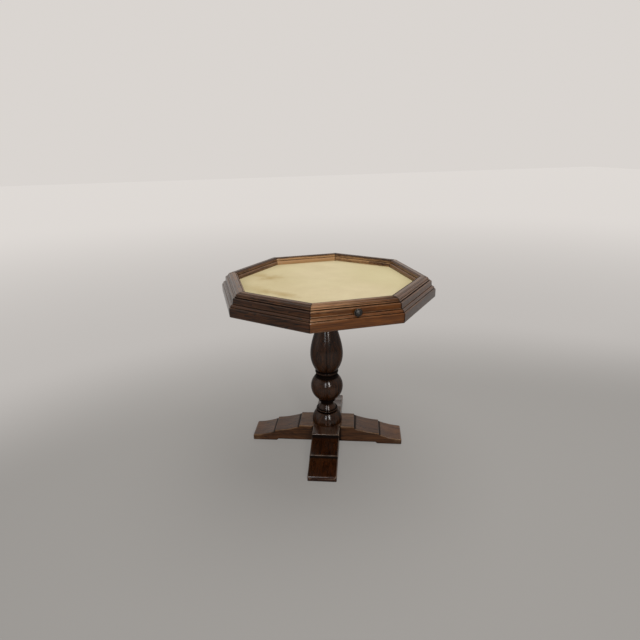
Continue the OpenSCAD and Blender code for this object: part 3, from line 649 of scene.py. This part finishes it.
# ---------------------------------------------------------------------------------------
# Playing cloth. A fine plain-woven cloth, straw coloured and a little faded, glued to the
# board and trimmed to an octagon under the inner lip. It is darker toward the rim.
# ---------------------------------------------------------------------------------------
CLOTH_APOTHEM, CLOTH_TOP, CLOTH_T = 254.6, 528.0, 1.0
SLACK = 0.05                                    # how far it wavers, nowhere above CLOTH_TOP
THREAD = 0.00055
# Old stains: middle in metres, turn in degrees, half length and half width, and depth
STAINS = (((-0.150, 0.088), -48, (0.066, 0.052), 0.8), ((-0.195, 0.140), -40, (0.060, 0.040), 0.35),
    ((-0.155, -0.084), -44, (0.080, 0.026), 0.7), ((-0.205, -0.020), -60, (0.080, 0.040), 0.4))


def laid_cloth():
    """An octagonal sheet. A point at fraction f and angle a lies at f times the octagon's
    radius there, apothem / cos(a - nearest facet), top and under side a cloth apart."""
    rings, spokes = 46, 256
    a = np.arange(spokes) / spokes * 2 * math.pi
    radius = CLOTH_APOTHEM / np.cos((a + HALF) % (2 * HALF) - HALF)
    f = np.linspace(0, 1, rings)[1:, None]
    x, y = f * radius * np.cos(a), f * radius * np.sin(a)
    slack = SLACK * (np.sin(x / 31) * np.cos(y / 27) - 1) * (1 - f ** 6)
    top = np.stack([x, y, CLOTH_TOP + slack], -1).reshape(-1, 3)
    below = top[-spokes:] - [0, 0, CLOTH_T]
    points = np.vstack([[0, 0, CLOTH_TOP - SLACK], top, below])
    i, j = np.meshgrid(np.arange(rings - 1), np.arange(spokes), indexing="ij")
    inner, k = i * spokes, (j + 1) % spokes
    outer = inner + spokes
    quads = 1 + np.stack([inner + j, outer + j, outer + k, inner + k], -1)
    faces = quads.reshape(-1, 4).tolist()
    faces += [(0, 1 + m, 1 + (m + 1) % spokes) for m in range(spokes)]
    faces.append(list(range(len(points) - 1, len(points) - spokes - 1, -1)))
    return mesh_object("cloth", points / 1000, faces)


# Straw colours and marks, from the fresh cloth to the threads that lie deep
PALE_STRAW, STRAW = (0.72, 0.613, 0.386, 1), (0.62, 0.511, 0.304, 1)
GREEN_STRAW, DULL_STRAW = (0.62, 0.552, 0.299, 1), (0.595, 0.488, 0.247, 1)
STAINED, DARK_BORDER = (0.42, 0.29, 0.105, 1), (0.42, 0.35, 0.17, 1)
DEEP_THREAD, LOOSE_THREAD = (0.36, 0.28, 0.14, 1), (0.80, 0.72, 0.50, 1)


def straw_cloth():
    """Plain weave of fine threads, with slow changes of tone, soft brown marks and a darker
    border toward the rim."""
    made, tree, shader = new_material("straw_cloth")
    place = object_place(tree)
    x, y = axes_of(tree, place)[:2]
    warp, weft = (reckon(tree, "SINE", reckon(tree, "MULTIPLY", v, math.pi / THREAD))
        for v in (x, y))
    weave = reckon(tree, "MULTIPLY_ADD", reckon(tree, "MULTIPLY", warp, weft), 0.5, 0.5)
    slub = noise_at(tree, place, (60, 900, 60), 2)
    mottle = noise_at(tree, place, (7, 7, 7), 4, 0.6)
    wide = noise_at(tree, place, (2.3, 2.3, 2.3), 2, 0.5)
    colour = blend(tree, ramp(tree, mottle, 0.3, 0.7), STRAW, PALE_STRAW)
    colour = blend(tree, ramp(tree, wide, 0.36, 0.60, 0.0, 0.6), colour, GREEN_STRAW)
    colour = blend(tree, ramp(tree, x, 0.02, -0.20, 0.0, 0.4), colour, DULL_STRAW)
    ragged = noise_at(tree, place, (22, 22, 22), 4, 0.65)
    for (middle_x, middle_y), turn, (along, across), depth in STAINS:
        spot = add_node(tree, "ShaderNodeMapping", [("Vector", place),
            ("Location", (middle_x, middle_y, CLOTH_TOP / 1000)),
            ("Rotation", (0, 0, math.radians(turn))), ("Scale", (along, across, 1))],
            vector_type="TEXTURE")
        reach = reckon_vector(tree, "LENGTH", spot.outputs[0])
        reach = reckon(tree, "MULTIPLY_ADD", ragged, 1.8, reach)
        colour = blend(tree, ramp(tree, reach, 0.9, 1.9, depth, 0.0), colour, STAINED)
    sunk = reckon(tree, "MULTIPLY", reckon(tree, "SUBTRACT", 1.0, weave), 0.16)
    colour = blend(tree, sunk, colour, DEEP_THREAD)
    colour = blend(tree, ramp(tree, slub, 0.60, 0.72, 0.0, 0.16), colour, LOOSE_THREAD)
    flat = add_node(tree, "ShaderNodeCombineXYZ", [(0, x), (1, y)]).outputs[0]
    border = reckon(tree, "MULTIPLY_ADD", mottle, 0.03, reckon_vector(tree, "LENGTH", flat))
    colour = blend(tree, ramp(tree, border, 0.225, 0.275, 0.0, 0.5), colour, DARK_BORDER)
    feed(tree, shader, [("Base Color", colour), ("Roughness", 0.85), ("Sheen Weight", 0.12),
        ("Sheen Roughness", 0.5)])
    add_relief(tree, shader, weave, 0.35, 0.0002)
    return made


cloth = laid_cloth()
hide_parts("playing_cloth")
finish_shell(cloth, straw_cloth(), "table")

# ---------------------------------------------------------------------------------------
# Column. One oak blank turned to a half ball, a ball and a vase between rings, with a
# round tenon at each end and a bore for the tie rod. Stained near black and varnished.
# ---------------------------------------------------------------------------------------
FOOT_H, RELIEF = 57.5, 5.0
ROD_BORE, TENON_R, CAP_TENON_R = 5.5, 18.0, 20.0
COLUMN_LOW, COLUMN_HIGH = 20.5, 502.5           # the ends of its tenons
GLUE_LINE = 75.0                                # degrees, where the blank's halves meet


def hermite(r0, z0, s0, r1, z1, s1, n):
    """Smooth radius between two heights, with the slope dr/dz given at both ends."""
    t = np.linspace(0, 1, n + 1)
    rise = z1 - z0
    r = r0 * (1 - 3 * t**2 + 2 * t**3) + r1 * (3 * t**2 - 2 * t**3)
    r = r + rise * (s0 * (t - 2 * t**2 + t**3) + s1 * (t**3 - t**2))
    return np.c_[r, z0 + rise * t]


def ring_edge(r, z, h, n=STEPS):
    """Half-round edge of a ring: r - h/2 + h/2 sin(a), z + h/2 - h/2 cos(a)."""
    a = np.linspace(0, math.pi, n + 1)
    return np.c_[r - h / 2 + h / 2 * np.sin(a), z + h / 2 - h / 2 * np.cos(a)]


def ball_arc(radius, z, low, high, n):
    """Arc of a ball about height z between two heights from its centre."""
    a = np.linspace(math.asin(low / radius), math.asin(high / radius), n + 1)
    return np.c_[radius * np.cos(a), z + radius * np.sin(a)]


COLUMN_TURNING = np.vstack([
    ball_arc(47.7, 63.5, -6, 32.5, 30),           # cut ball on the feet
    [[25.5, 96.55]],
    hermite(24.4, 97.1, -0.3, 30, 101.5, 1.2, 8),
    ring_edge(34.5, 101.5, 4.5),
    hermite(29.55, 106, -0.6, 20, 122.5, -0.3, 18),
    hermite(20, 128, 0, 24, 133.5, 1.2, 8),       # slim neck
    ring_edge(27.5, 133.5, 5, 12),
    ball_arc(51, 183.5, -45, 38, 44),
    [[34.5, 222.0], [34.5, 225.5], [30.6, 226], [30.6, 230.5]],
    ring_edge(36.5, 230.5, 11, 18),
    hermite(35, 242.6, 0.65, 51, 295.6, 0, 22),   # vase
    hermite(51, 295.6, 0, 22, 428.8, -0.1, 40)[1:],
    [[22, 432]],
    ring_edge(29.2, 432, 8),
    hermite(23, 440, 0.05, 38, 460, 1.4, 16),     # capital
    [[38, 462], [40, 462], [42, 465], [42, RIM_Z]]])


def turned(name, outline, spokes=144, grain_shift=(0.0, 0.0), ease=0.4, soak=2.0, shade_under_swells=0.0,
        glued=0.0):
    """Spins a closed outline of (radius, height) round the Z axis:
    (r cos a, r sin a, z) for each point and each of the spokes. Stain soaks in by the hollows,
    and painted shade darkens the undersides of the swells, where the outline leans out."""
    profile = eased(outline, ease)
    wear_and_highlight, dirt_and_shade = edge_marks(profile, 1.4, 0.9)
    dirt_and_shade += 0.55 * edge_marks(profile, 1.4, soak)[1]
    lean = np.roll(profile, -1, 0) - np.roll(profile, 1, 0)
    # painted shade under the swells, where the surface faces down
    dirt_and_shade += shade_under_swells * np.maximum(lean[:, 0] / (np.linalg.norm(lean, axis=1) + 1e-9), 0)
    a = np.arange(spokes) / spokes * 2 * math.pi
    r, z = profile[:, 0][None, :], profile[:, 1][None, :]
    points = np.stack([r * np.cos(a)[:, None], r * np.sin(a)[:, None], z + 0 * a[:, None]], -1)
    i, j = np.meshgrid(np.arange(spokes), np.arange(len(profile)), indexing="ij")
    count = len(profile)
    p, q = (i + 1) % spokes, (j + 1) % count
    quads = np.stack([i * count + j, p * count + j, p * count + q, i * count + q], -1)
    piece = mesh_object(name, points.reshape(-1, 3) / 1000, quads.reshape(-1, 4).tolist())
    x, y, height = np.moveaxis(points, -1, 0)
    grain = np.stack([height, x + grain_shift[0], y + grain_shift[1]], -1) / 1000
    # the fine dark line where two halves of the blank are glued
    line = glued * np.exp(-(np.sin(a - math.radians(GLUE_LINE)) / 0.022) ** 2)
    set_marks(piece, grain, np.ones((spokes, 1)) * wear_and_highlight, dirt_and_shade + line[:, None])
    return piece


COLUMN_OAK = varnished_oak("column_oak", (0.0085, 0.0032, 0.0013), (0.072, 0.0260, 0.0085),
    (0.14, 0.068, 0.033), pale_share=0.4, roughness=0.25, coat=1.0, coat_ior=1.44, coat_roughness=0.17,
    edge_gloss=0.2)
column = turned("column_turning", np.vstack([
    [[ROD_BORE, COLUMN_LOW], [TENON_R, COLUMN_LOW], [TENON_R, FOOT_H]], COLUMN_TURNING,
    [[CAP_TENON_R, RIM_Z], [CAP_TENON_R, COLUMN_HIGH], [ROD_BORE, COLUMN_HIGH]]]),
    grain_shift=(21.0, 34.0), soak=6.5, shade_under_swells=0.5, glued=0.7)
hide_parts("column")
finish_shell(column, COLUMN_OAK, "table")

# ---------------------------------------------------------------------------------------
# Tie rod, nuts, washers and wood screws. Zinc plated steel. The rod clamps the column
# between the bearer and the feet; the nuts and washers sit in counterbores.
# ---------------------------------------------------------------------------------------


def zinc_plate():
    """Dull zinc with a faint yellow cast, fine scratches and darker patches."""
    made, tree, shader = new_material("zinc_plate")
    place = object_place(tree)
    patch = noise_at(tree, place, (140, 140, 140), 4, 0.65)
    scratch = noise_at(tree, place, (700, 2600, 900), 2)
    colour = blend(tree, ramp(tree, patch, 0.35, 0.7), (0.54, 0.54, 0.52, 1), (0.33, 0.31, 0.27, 1))
    rough = reckon(tree, "MULTIPLY_ADD", patch, 0.3, 0.22)
    feed(tree, shader, [("Base Color", colour), ("Roughness", rough), ("Metallic", 0.95)])
    add_relief(tree, shader, scratch, 0.15, 0.0002)
    return made


dress(zinc_plate(), "tie_rod", "tie_nuts", "tie_washers", "bearer_screws", "runner_screws",
    "stop_screw", "knob_screw")

# ---------------------------------------------------------------------------------------
# Feet. Two oak beams are half lapped into a cross. Each end steps down twice in shallow
# hollow sweeps to a blunt toe with a pad below; the long edges are eased by sanding.
# ---------------------------------------------------------------------------------------
REACH, FOOT_W, PAD, TURN = 241.0, 85.0, 78.0, 19.5
LAP_Z, LAP_EDGE = (RELIEF + FOOT_H) / 2, FOOT_W / 2
TOE_R, SHARP = 5.0, 0.35                        # rounding of the toe, and of the joint's edges


def hollow(a, b, sag):
    """Shallow hollow from a to b: the straight line less 4 sag t (1 - t)."""
    t = np.linspace(0, 1, STEPS + 1)[:, None]
    return np.array(a) + (np.array(b) - a) * t - np.array([0, 4 * sag]) * t * (1 - t)


toe_bend = np.linspace(0.5, math.pi / 2, 8)
FOOT_TOP = np.vstack([
    [[x, FOOT_H] for x in (0, 20, 36, LAP_EDGE - 0.05, LAP_EDGE + 0.05, 50, 60, 72, 86.5)],
    [[88, 56.0]],
    hollow([88.3, 53.0], [167, 37], 2.8),
    [[168, 36]],
    hollow([168.4, 32.5], [236, 17], 2.8),
    np.c_[REACH - TOE_R + TOE_R * np.sin(toe_bend), 12 + TOE_R * np.cos(toe_bend)]])


def beam_lines(upper):
    """Along one half of a beam: the distance from the crossing, the heights of its top and
    under side, its half width and the rounding of its upper edges. Half the height is cut
    away at the lap, from below for the upper beam and from above for the other."""
    outline = eased(FOOT_TOP, 1.0, closed=False)
    pad_start = REACH - PAD
    extra = [LAP_EDGE - 0.02, LAP_EDGE + 0.02, pad_start - RELIEF, pad_start - 2.5, pad_start]
    x = np.unique(np.r_[outline[:, 0], extra, np.linspace(2, 234, 36)])
    x = x[np.r_[True, np.diff(x) > 0.012]]
    top = np.interp(x, outline[:, 0], outline[:, 1])
    low = np.interp(x, [0, pad_start - RELIEF, pad_start, REACH - 1, REACH],
        [RELIEF, RELIEF, 0, 0, 1])
    into_toe = np.maximum(x - (REACH - TOE_R), 0)
    half = FOOT_W / 2 - TOE_R + np.sqrt(np.maximum(TOE_R ** 2 - into_toe ** 2, 0))
    soft = np.interp(x, [0, 46, 58, 80, REACH - TOE_R, REACH], [SHARP, SHARP, 1.5, 2.6, 2.6, 1.2])
    if upper:
        low = np.where(x < LAP_EDGE, LAP_Z, low)
    else:
        top = np.where(x < LAP_EDGE, LAP_Z, top)
        soft = np.where(x < LAP_EDGE, SHARP, soft)
    return x, top, low, half, np.minimum(soft, 0.45 * (top - low))


def foot_beam(name, upper, turn, shadow_reach, nose_wear_and_highlight, toe_wear):
    """A beam as rings across its length. The ring at distance x is a rectangle from the
    under side z0(x) to the top z1(x), half width w(x), with its upper corners rounded by
    r(x). The edges, the steps' noses and the toes are pale with wear, the edges and noses
    also with painted highlights, and the flat top round the crossing with painted sheen.
    Painted shade darkens it for the given reach, in millimetres, under each step, along its
    foot by the floor and on its sides by the crossing."""
    lines = beam_lines(upper)
    x = np.r_[-lines[0][:0:-1], lines[0]]
    top, low, half, soft = (np.r_[v[:0:-1], v] for v in lines[1:])
    # one ring, from the middle of the top round to the middle again, as (y, z) parts
    ring = [((half - soft) * part, top) for part in (0, 0.25, 0.5, 0.75, 0.93)]
    ring += [(half - soft + soft * np.sin(bend), top - soft + soft * np.cos(bend))
        for bend in np.linspace(0, math.pi / 2, 6)]
    ring += [(half, (top - soft) * (1 - part) + low * part)
        for part in (0.06, 0.3, 0.55, 0.8, 0.985)]
    ring += [(half - 0.012 * half, low), (half * 0.5, low)]
    y, z = (np.stack(part, 1) for part in zip(*ring))
    y = np.hstack([y, np.zeros((len(x), 1)), -y[:, :0:-1]])
    z = np.hstack([z, low[:, None], z[:, :0:-1]])
    count = y.shape[1]
    local = np.stack([np.repeat(x[:, None], count, 1), y, z], -1)
    c, s = math.cos(math.radians(turn)), math.sin(math.radians(turn))
    points = np.stack([local[..., 0] * c - y * s, local[..., 0] * s + y * c, z], -1)
    piece = mesh_object(name, points.reshape(-1, 3) / 1000, grid_faces(len(x), count, True))
    grain = (local + [700 * (1 + upper), 90, 15]) / 1000
    away, half = np.abs(x)[:, None], half[:, None]
    on_side = np.abs(y) > half - 0.5
    toward_top = np.clip((z - top[:, None] + 5) / 5, 0, 1)
    # the steps' noses: wear, with a painted highlight line
    nose = np.exp(-((away - [87.2, 167.2, 237.5]) / 1.2) ** 2) @ [nose_wear_and_highlight, nose_wear_and_highlight, 1.0]
    # the upper long edges: wear, with a painted highlight along the arris
    edge = np.exp(-((half - np.abs(y)) / 2.0) ** 2 - ((top[:, None] - z) / 2.0) ** 2)
    toe = toe_wear * np.exp(-((away - 228) / 14) ** 2) * on_side
    wear_and_highlight = 2.6 * edge * (half > 5) + nose[:, None] * toward_top + toe
    # painted sheen on the flat top round the crossing
    wear_and_highlight += 0.9 * (away < 86) * toward_top
    # painted shadow under each step's nose
    below = away - [88.1, 168.2]
    shade = ((below > 0) * np.exp(-(below / np.array(shadow_reach)) ** 4)).sum(1)
    # painted contact shadow along the foot, by the floor
    near_floor = 0.7 * np.exp(-(z - low[:, None]) / 2.5)
    # painted shade on the sides by the crossing
    crossing = np.exp(-((away - LAP_EDGE) / 5) ** 2) * on_side
    set_marks(piece, grain, wear_and_highlight, shade[:, None] * toward_top + near_floor + crossing)
    return piece


def bore_cutter(name, radius, low, high):
    """A round plug that cuts a bore: (radius cos a, radius sin a) at two heights."""
    spokes = 96
    a = np.arange(spokes) / spokes * 2 * math.pi
    rings = [np.c_[radius * np.cos(a), radius * np.sin(a), np.full(spokes, z)] for z in (low, high)]
    return mesh_object(name, np.vstack(rings) / 1000, grid_faces(2, spokes, True))


FOOT_OAK = varnished_oak("foot_oak", (0.044, 0.0170, 0.0057), (0.170, 0.0655, 0.0220),
    (0.34, 0.20, 0.105), pale_share=0.6, roughness=0.30, rings=1.1, coat_ior=1.38, edge_gloss=0.85)
# painted shade: a darker copy of the foot oak for the front-to-back beam, for the table's shadow on
# its front foot
SHADED_FOOT_OAK = varnished_oak("shaded_foot_oak", (0.005, 0.0020, 0.0009), (0.072, 0.0205, 0.0056),
    (0.26, 0.18, 0.130), pale_share=0.6, roughness=0.28, coat_ior=1.42, edge_gloss=0.7)
tenon_bore = bore_cutter("tenon_bore", TENON_R + 0.05, -1, 60)
washer_bore = bore_cutter("washer_bore", 25.0, -1, 20)
for label, wood, *settings in (("foot_beam_lower", FOOT_OAK, False, -TURN, (7, 6), 0.2, 1.0),
        ("foot_beam_upper", SHADED_FOOT_OAK, True, 90 - TURN, (12, 6), 1.8, 0.0)):
    beam = foot_beam(label + "_shaped", *settings)
    cut_from(beam, tenon_bore, washer_bore)
    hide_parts(label)
    finish_shell(beam, wood, "table")
for cutter in (tenon_bore, washer_bore):
    bpy.data.objects.remove(cutter)

# ---------------------------------------------------------------------------------------
# Knob. A turned brass mushroom with a raised rim and a small button, browned with age and
# bright where fingers rub it. It screws on from inside the drawer front.
# ---------------------------------------------------------------------------------------
KNOB_Z = RIM_Z + 42.0
KNOB_SEAT = APOTHEM - 11.8                      # just behind the face of the upright band
KNOB_OUTLINE = np.vstack([
    [[2.05, 0], [4, 0], [4, 0.9], [3.5, 1.5], [3.0, 2.2]],
    hermite(2.9, 2.4, 0, 3.3, 6.2, 0.35, 6),
    hermite(3.6, 7.0, 1.6, 8.8, 10.0, 1.3, 8),
    ring_edge(10.5, 10.4, 3.0, 12),
    [[8.6, 13.9], [8.2, 14.4]],
    hermite(7.8, 14.8, -0.6, 4.4, 16.8, -2.6, 8),
    [[3.8, 17.0], [3.2, 17.4], [1.9, 17.85], [0.9, 17.97], [0.02, 18.0]],
    [[0.02, 9.0], [2.05, 9.0]]])


def aged_brass():
    """Brass gone brown, dark in its hollows and lighter on its high edges."""
    made, tree, shader = new_material("aged_brass")
    wear_and_highlight, dirt_and_shade = attribute_of(tree, "wear_and_highlight"), attribute_of(tree, "dirt_and_shade")
    patch = noise_at(tree, object_place(tree), (320, 320, 320), 4, 0.6)
    colour = blend(tree, ramp(tree, patch, 0.35, 0.7), (0.045, 0.042, 0.040, 1),
        (0.095, 0.092, 0.088, 1))
    bright = reckon(tree, "MULTIPLY", ramp(tree, wear_and_highlight, 0.3, 2.2), ramp(tree, patch, 0.35, 0.65))
    colour = blend(tree, bright, colour, (0.30, 0.27, 0.21, 1))
    colour = blend(tree, ramp(tree, dirt_and_shade, 0.1, 1.2), colour, (0.012, 0.010, 0.008, 1))
    rough = reckon(tree, "MULTIPLY_ADD", patch, 0.25, 0.24)
    feed(tree, shader, [("Base Color", colour), ("Roughness", rough), ("Metallic", 0.85)])
    add_relief(tree, shader, patch, 0.2, 0.0002)
    return made


def facing_front(piece, seat_y, height):
    """Lays a turned piece on its side at a height, so that its Z runs along -Y from a seat:
    (x, y, z) goes to (x, -seat - z, y + height)."""
    mesh = piece.data
    p = np.empty(len(mesh.vertices) * 3)
    mesh.vertices.foreach_get("co", p)
    p = p.reshape(-1, 3)
    p = np.c_[p[:, 0], -seat_y / 1000 - p[:, 2], p[:, 1] + height / 1000]
    mesh.vertices.foreach_set("co", p.ravel())
    mesh.update()


knob = turned("knob_turning", KNOB_OUTLINE, spokes=72, ease=0.25)
facing_front(knob, KNOB_SEAT, KNOB_Z)
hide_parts("drawer_knob")
finish_shell(knob, aged_brass(), "drawer", angle=40)

# ---------------------------------------------------------------------------------------
# Drawer. Its front is the lower part of the rim's own moulding, so that it vanishes when
# shut. Beech sides are housed into it, the bottom is a thin panel in grooves, and the
# sides are grooved outside for the runners' tongues.
# ---------------------------------------------------------------------------------------
# painted highlight on the left end of the drawer face
face = moulding("drawer_face_moulding", 0, DRAWER_FACE, gap=0.5, corner_highlight=1.6)
knob_seat = bore_cutter("knob_seat", 4.1, 0, 12)
facing_front(knob_seat, KNOB_SEAT, KNOB_Z)
housed = ("drawer_side_left", "drawer_side_right", "drawer_bottom", "knob_screw")
cut_from(face, *(cad[label] for label in housed), knob_seat)
bpy.data.objects.remove(knob_seat)
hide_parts("drawer_front")
finish_shell(face, LIT_DRAWER_OAK, "drawer")
BEECH = (0.36, 0.21, 0.105), (0.55, 0.37, 0.215)
dress(bare_timber("drawer_beech", *BEECH, ACROSS), "drawer_side_left", "drawer_side_right")
dress(bare_timber("drawer_back_beech", *BEECH), "drawer_back")
dress(bare_timber("drawer_panel", (0.42, 0.27, 0.14), (0.60, 0.43, 0.26), ply=0.0013),
    "drawer_bottom")
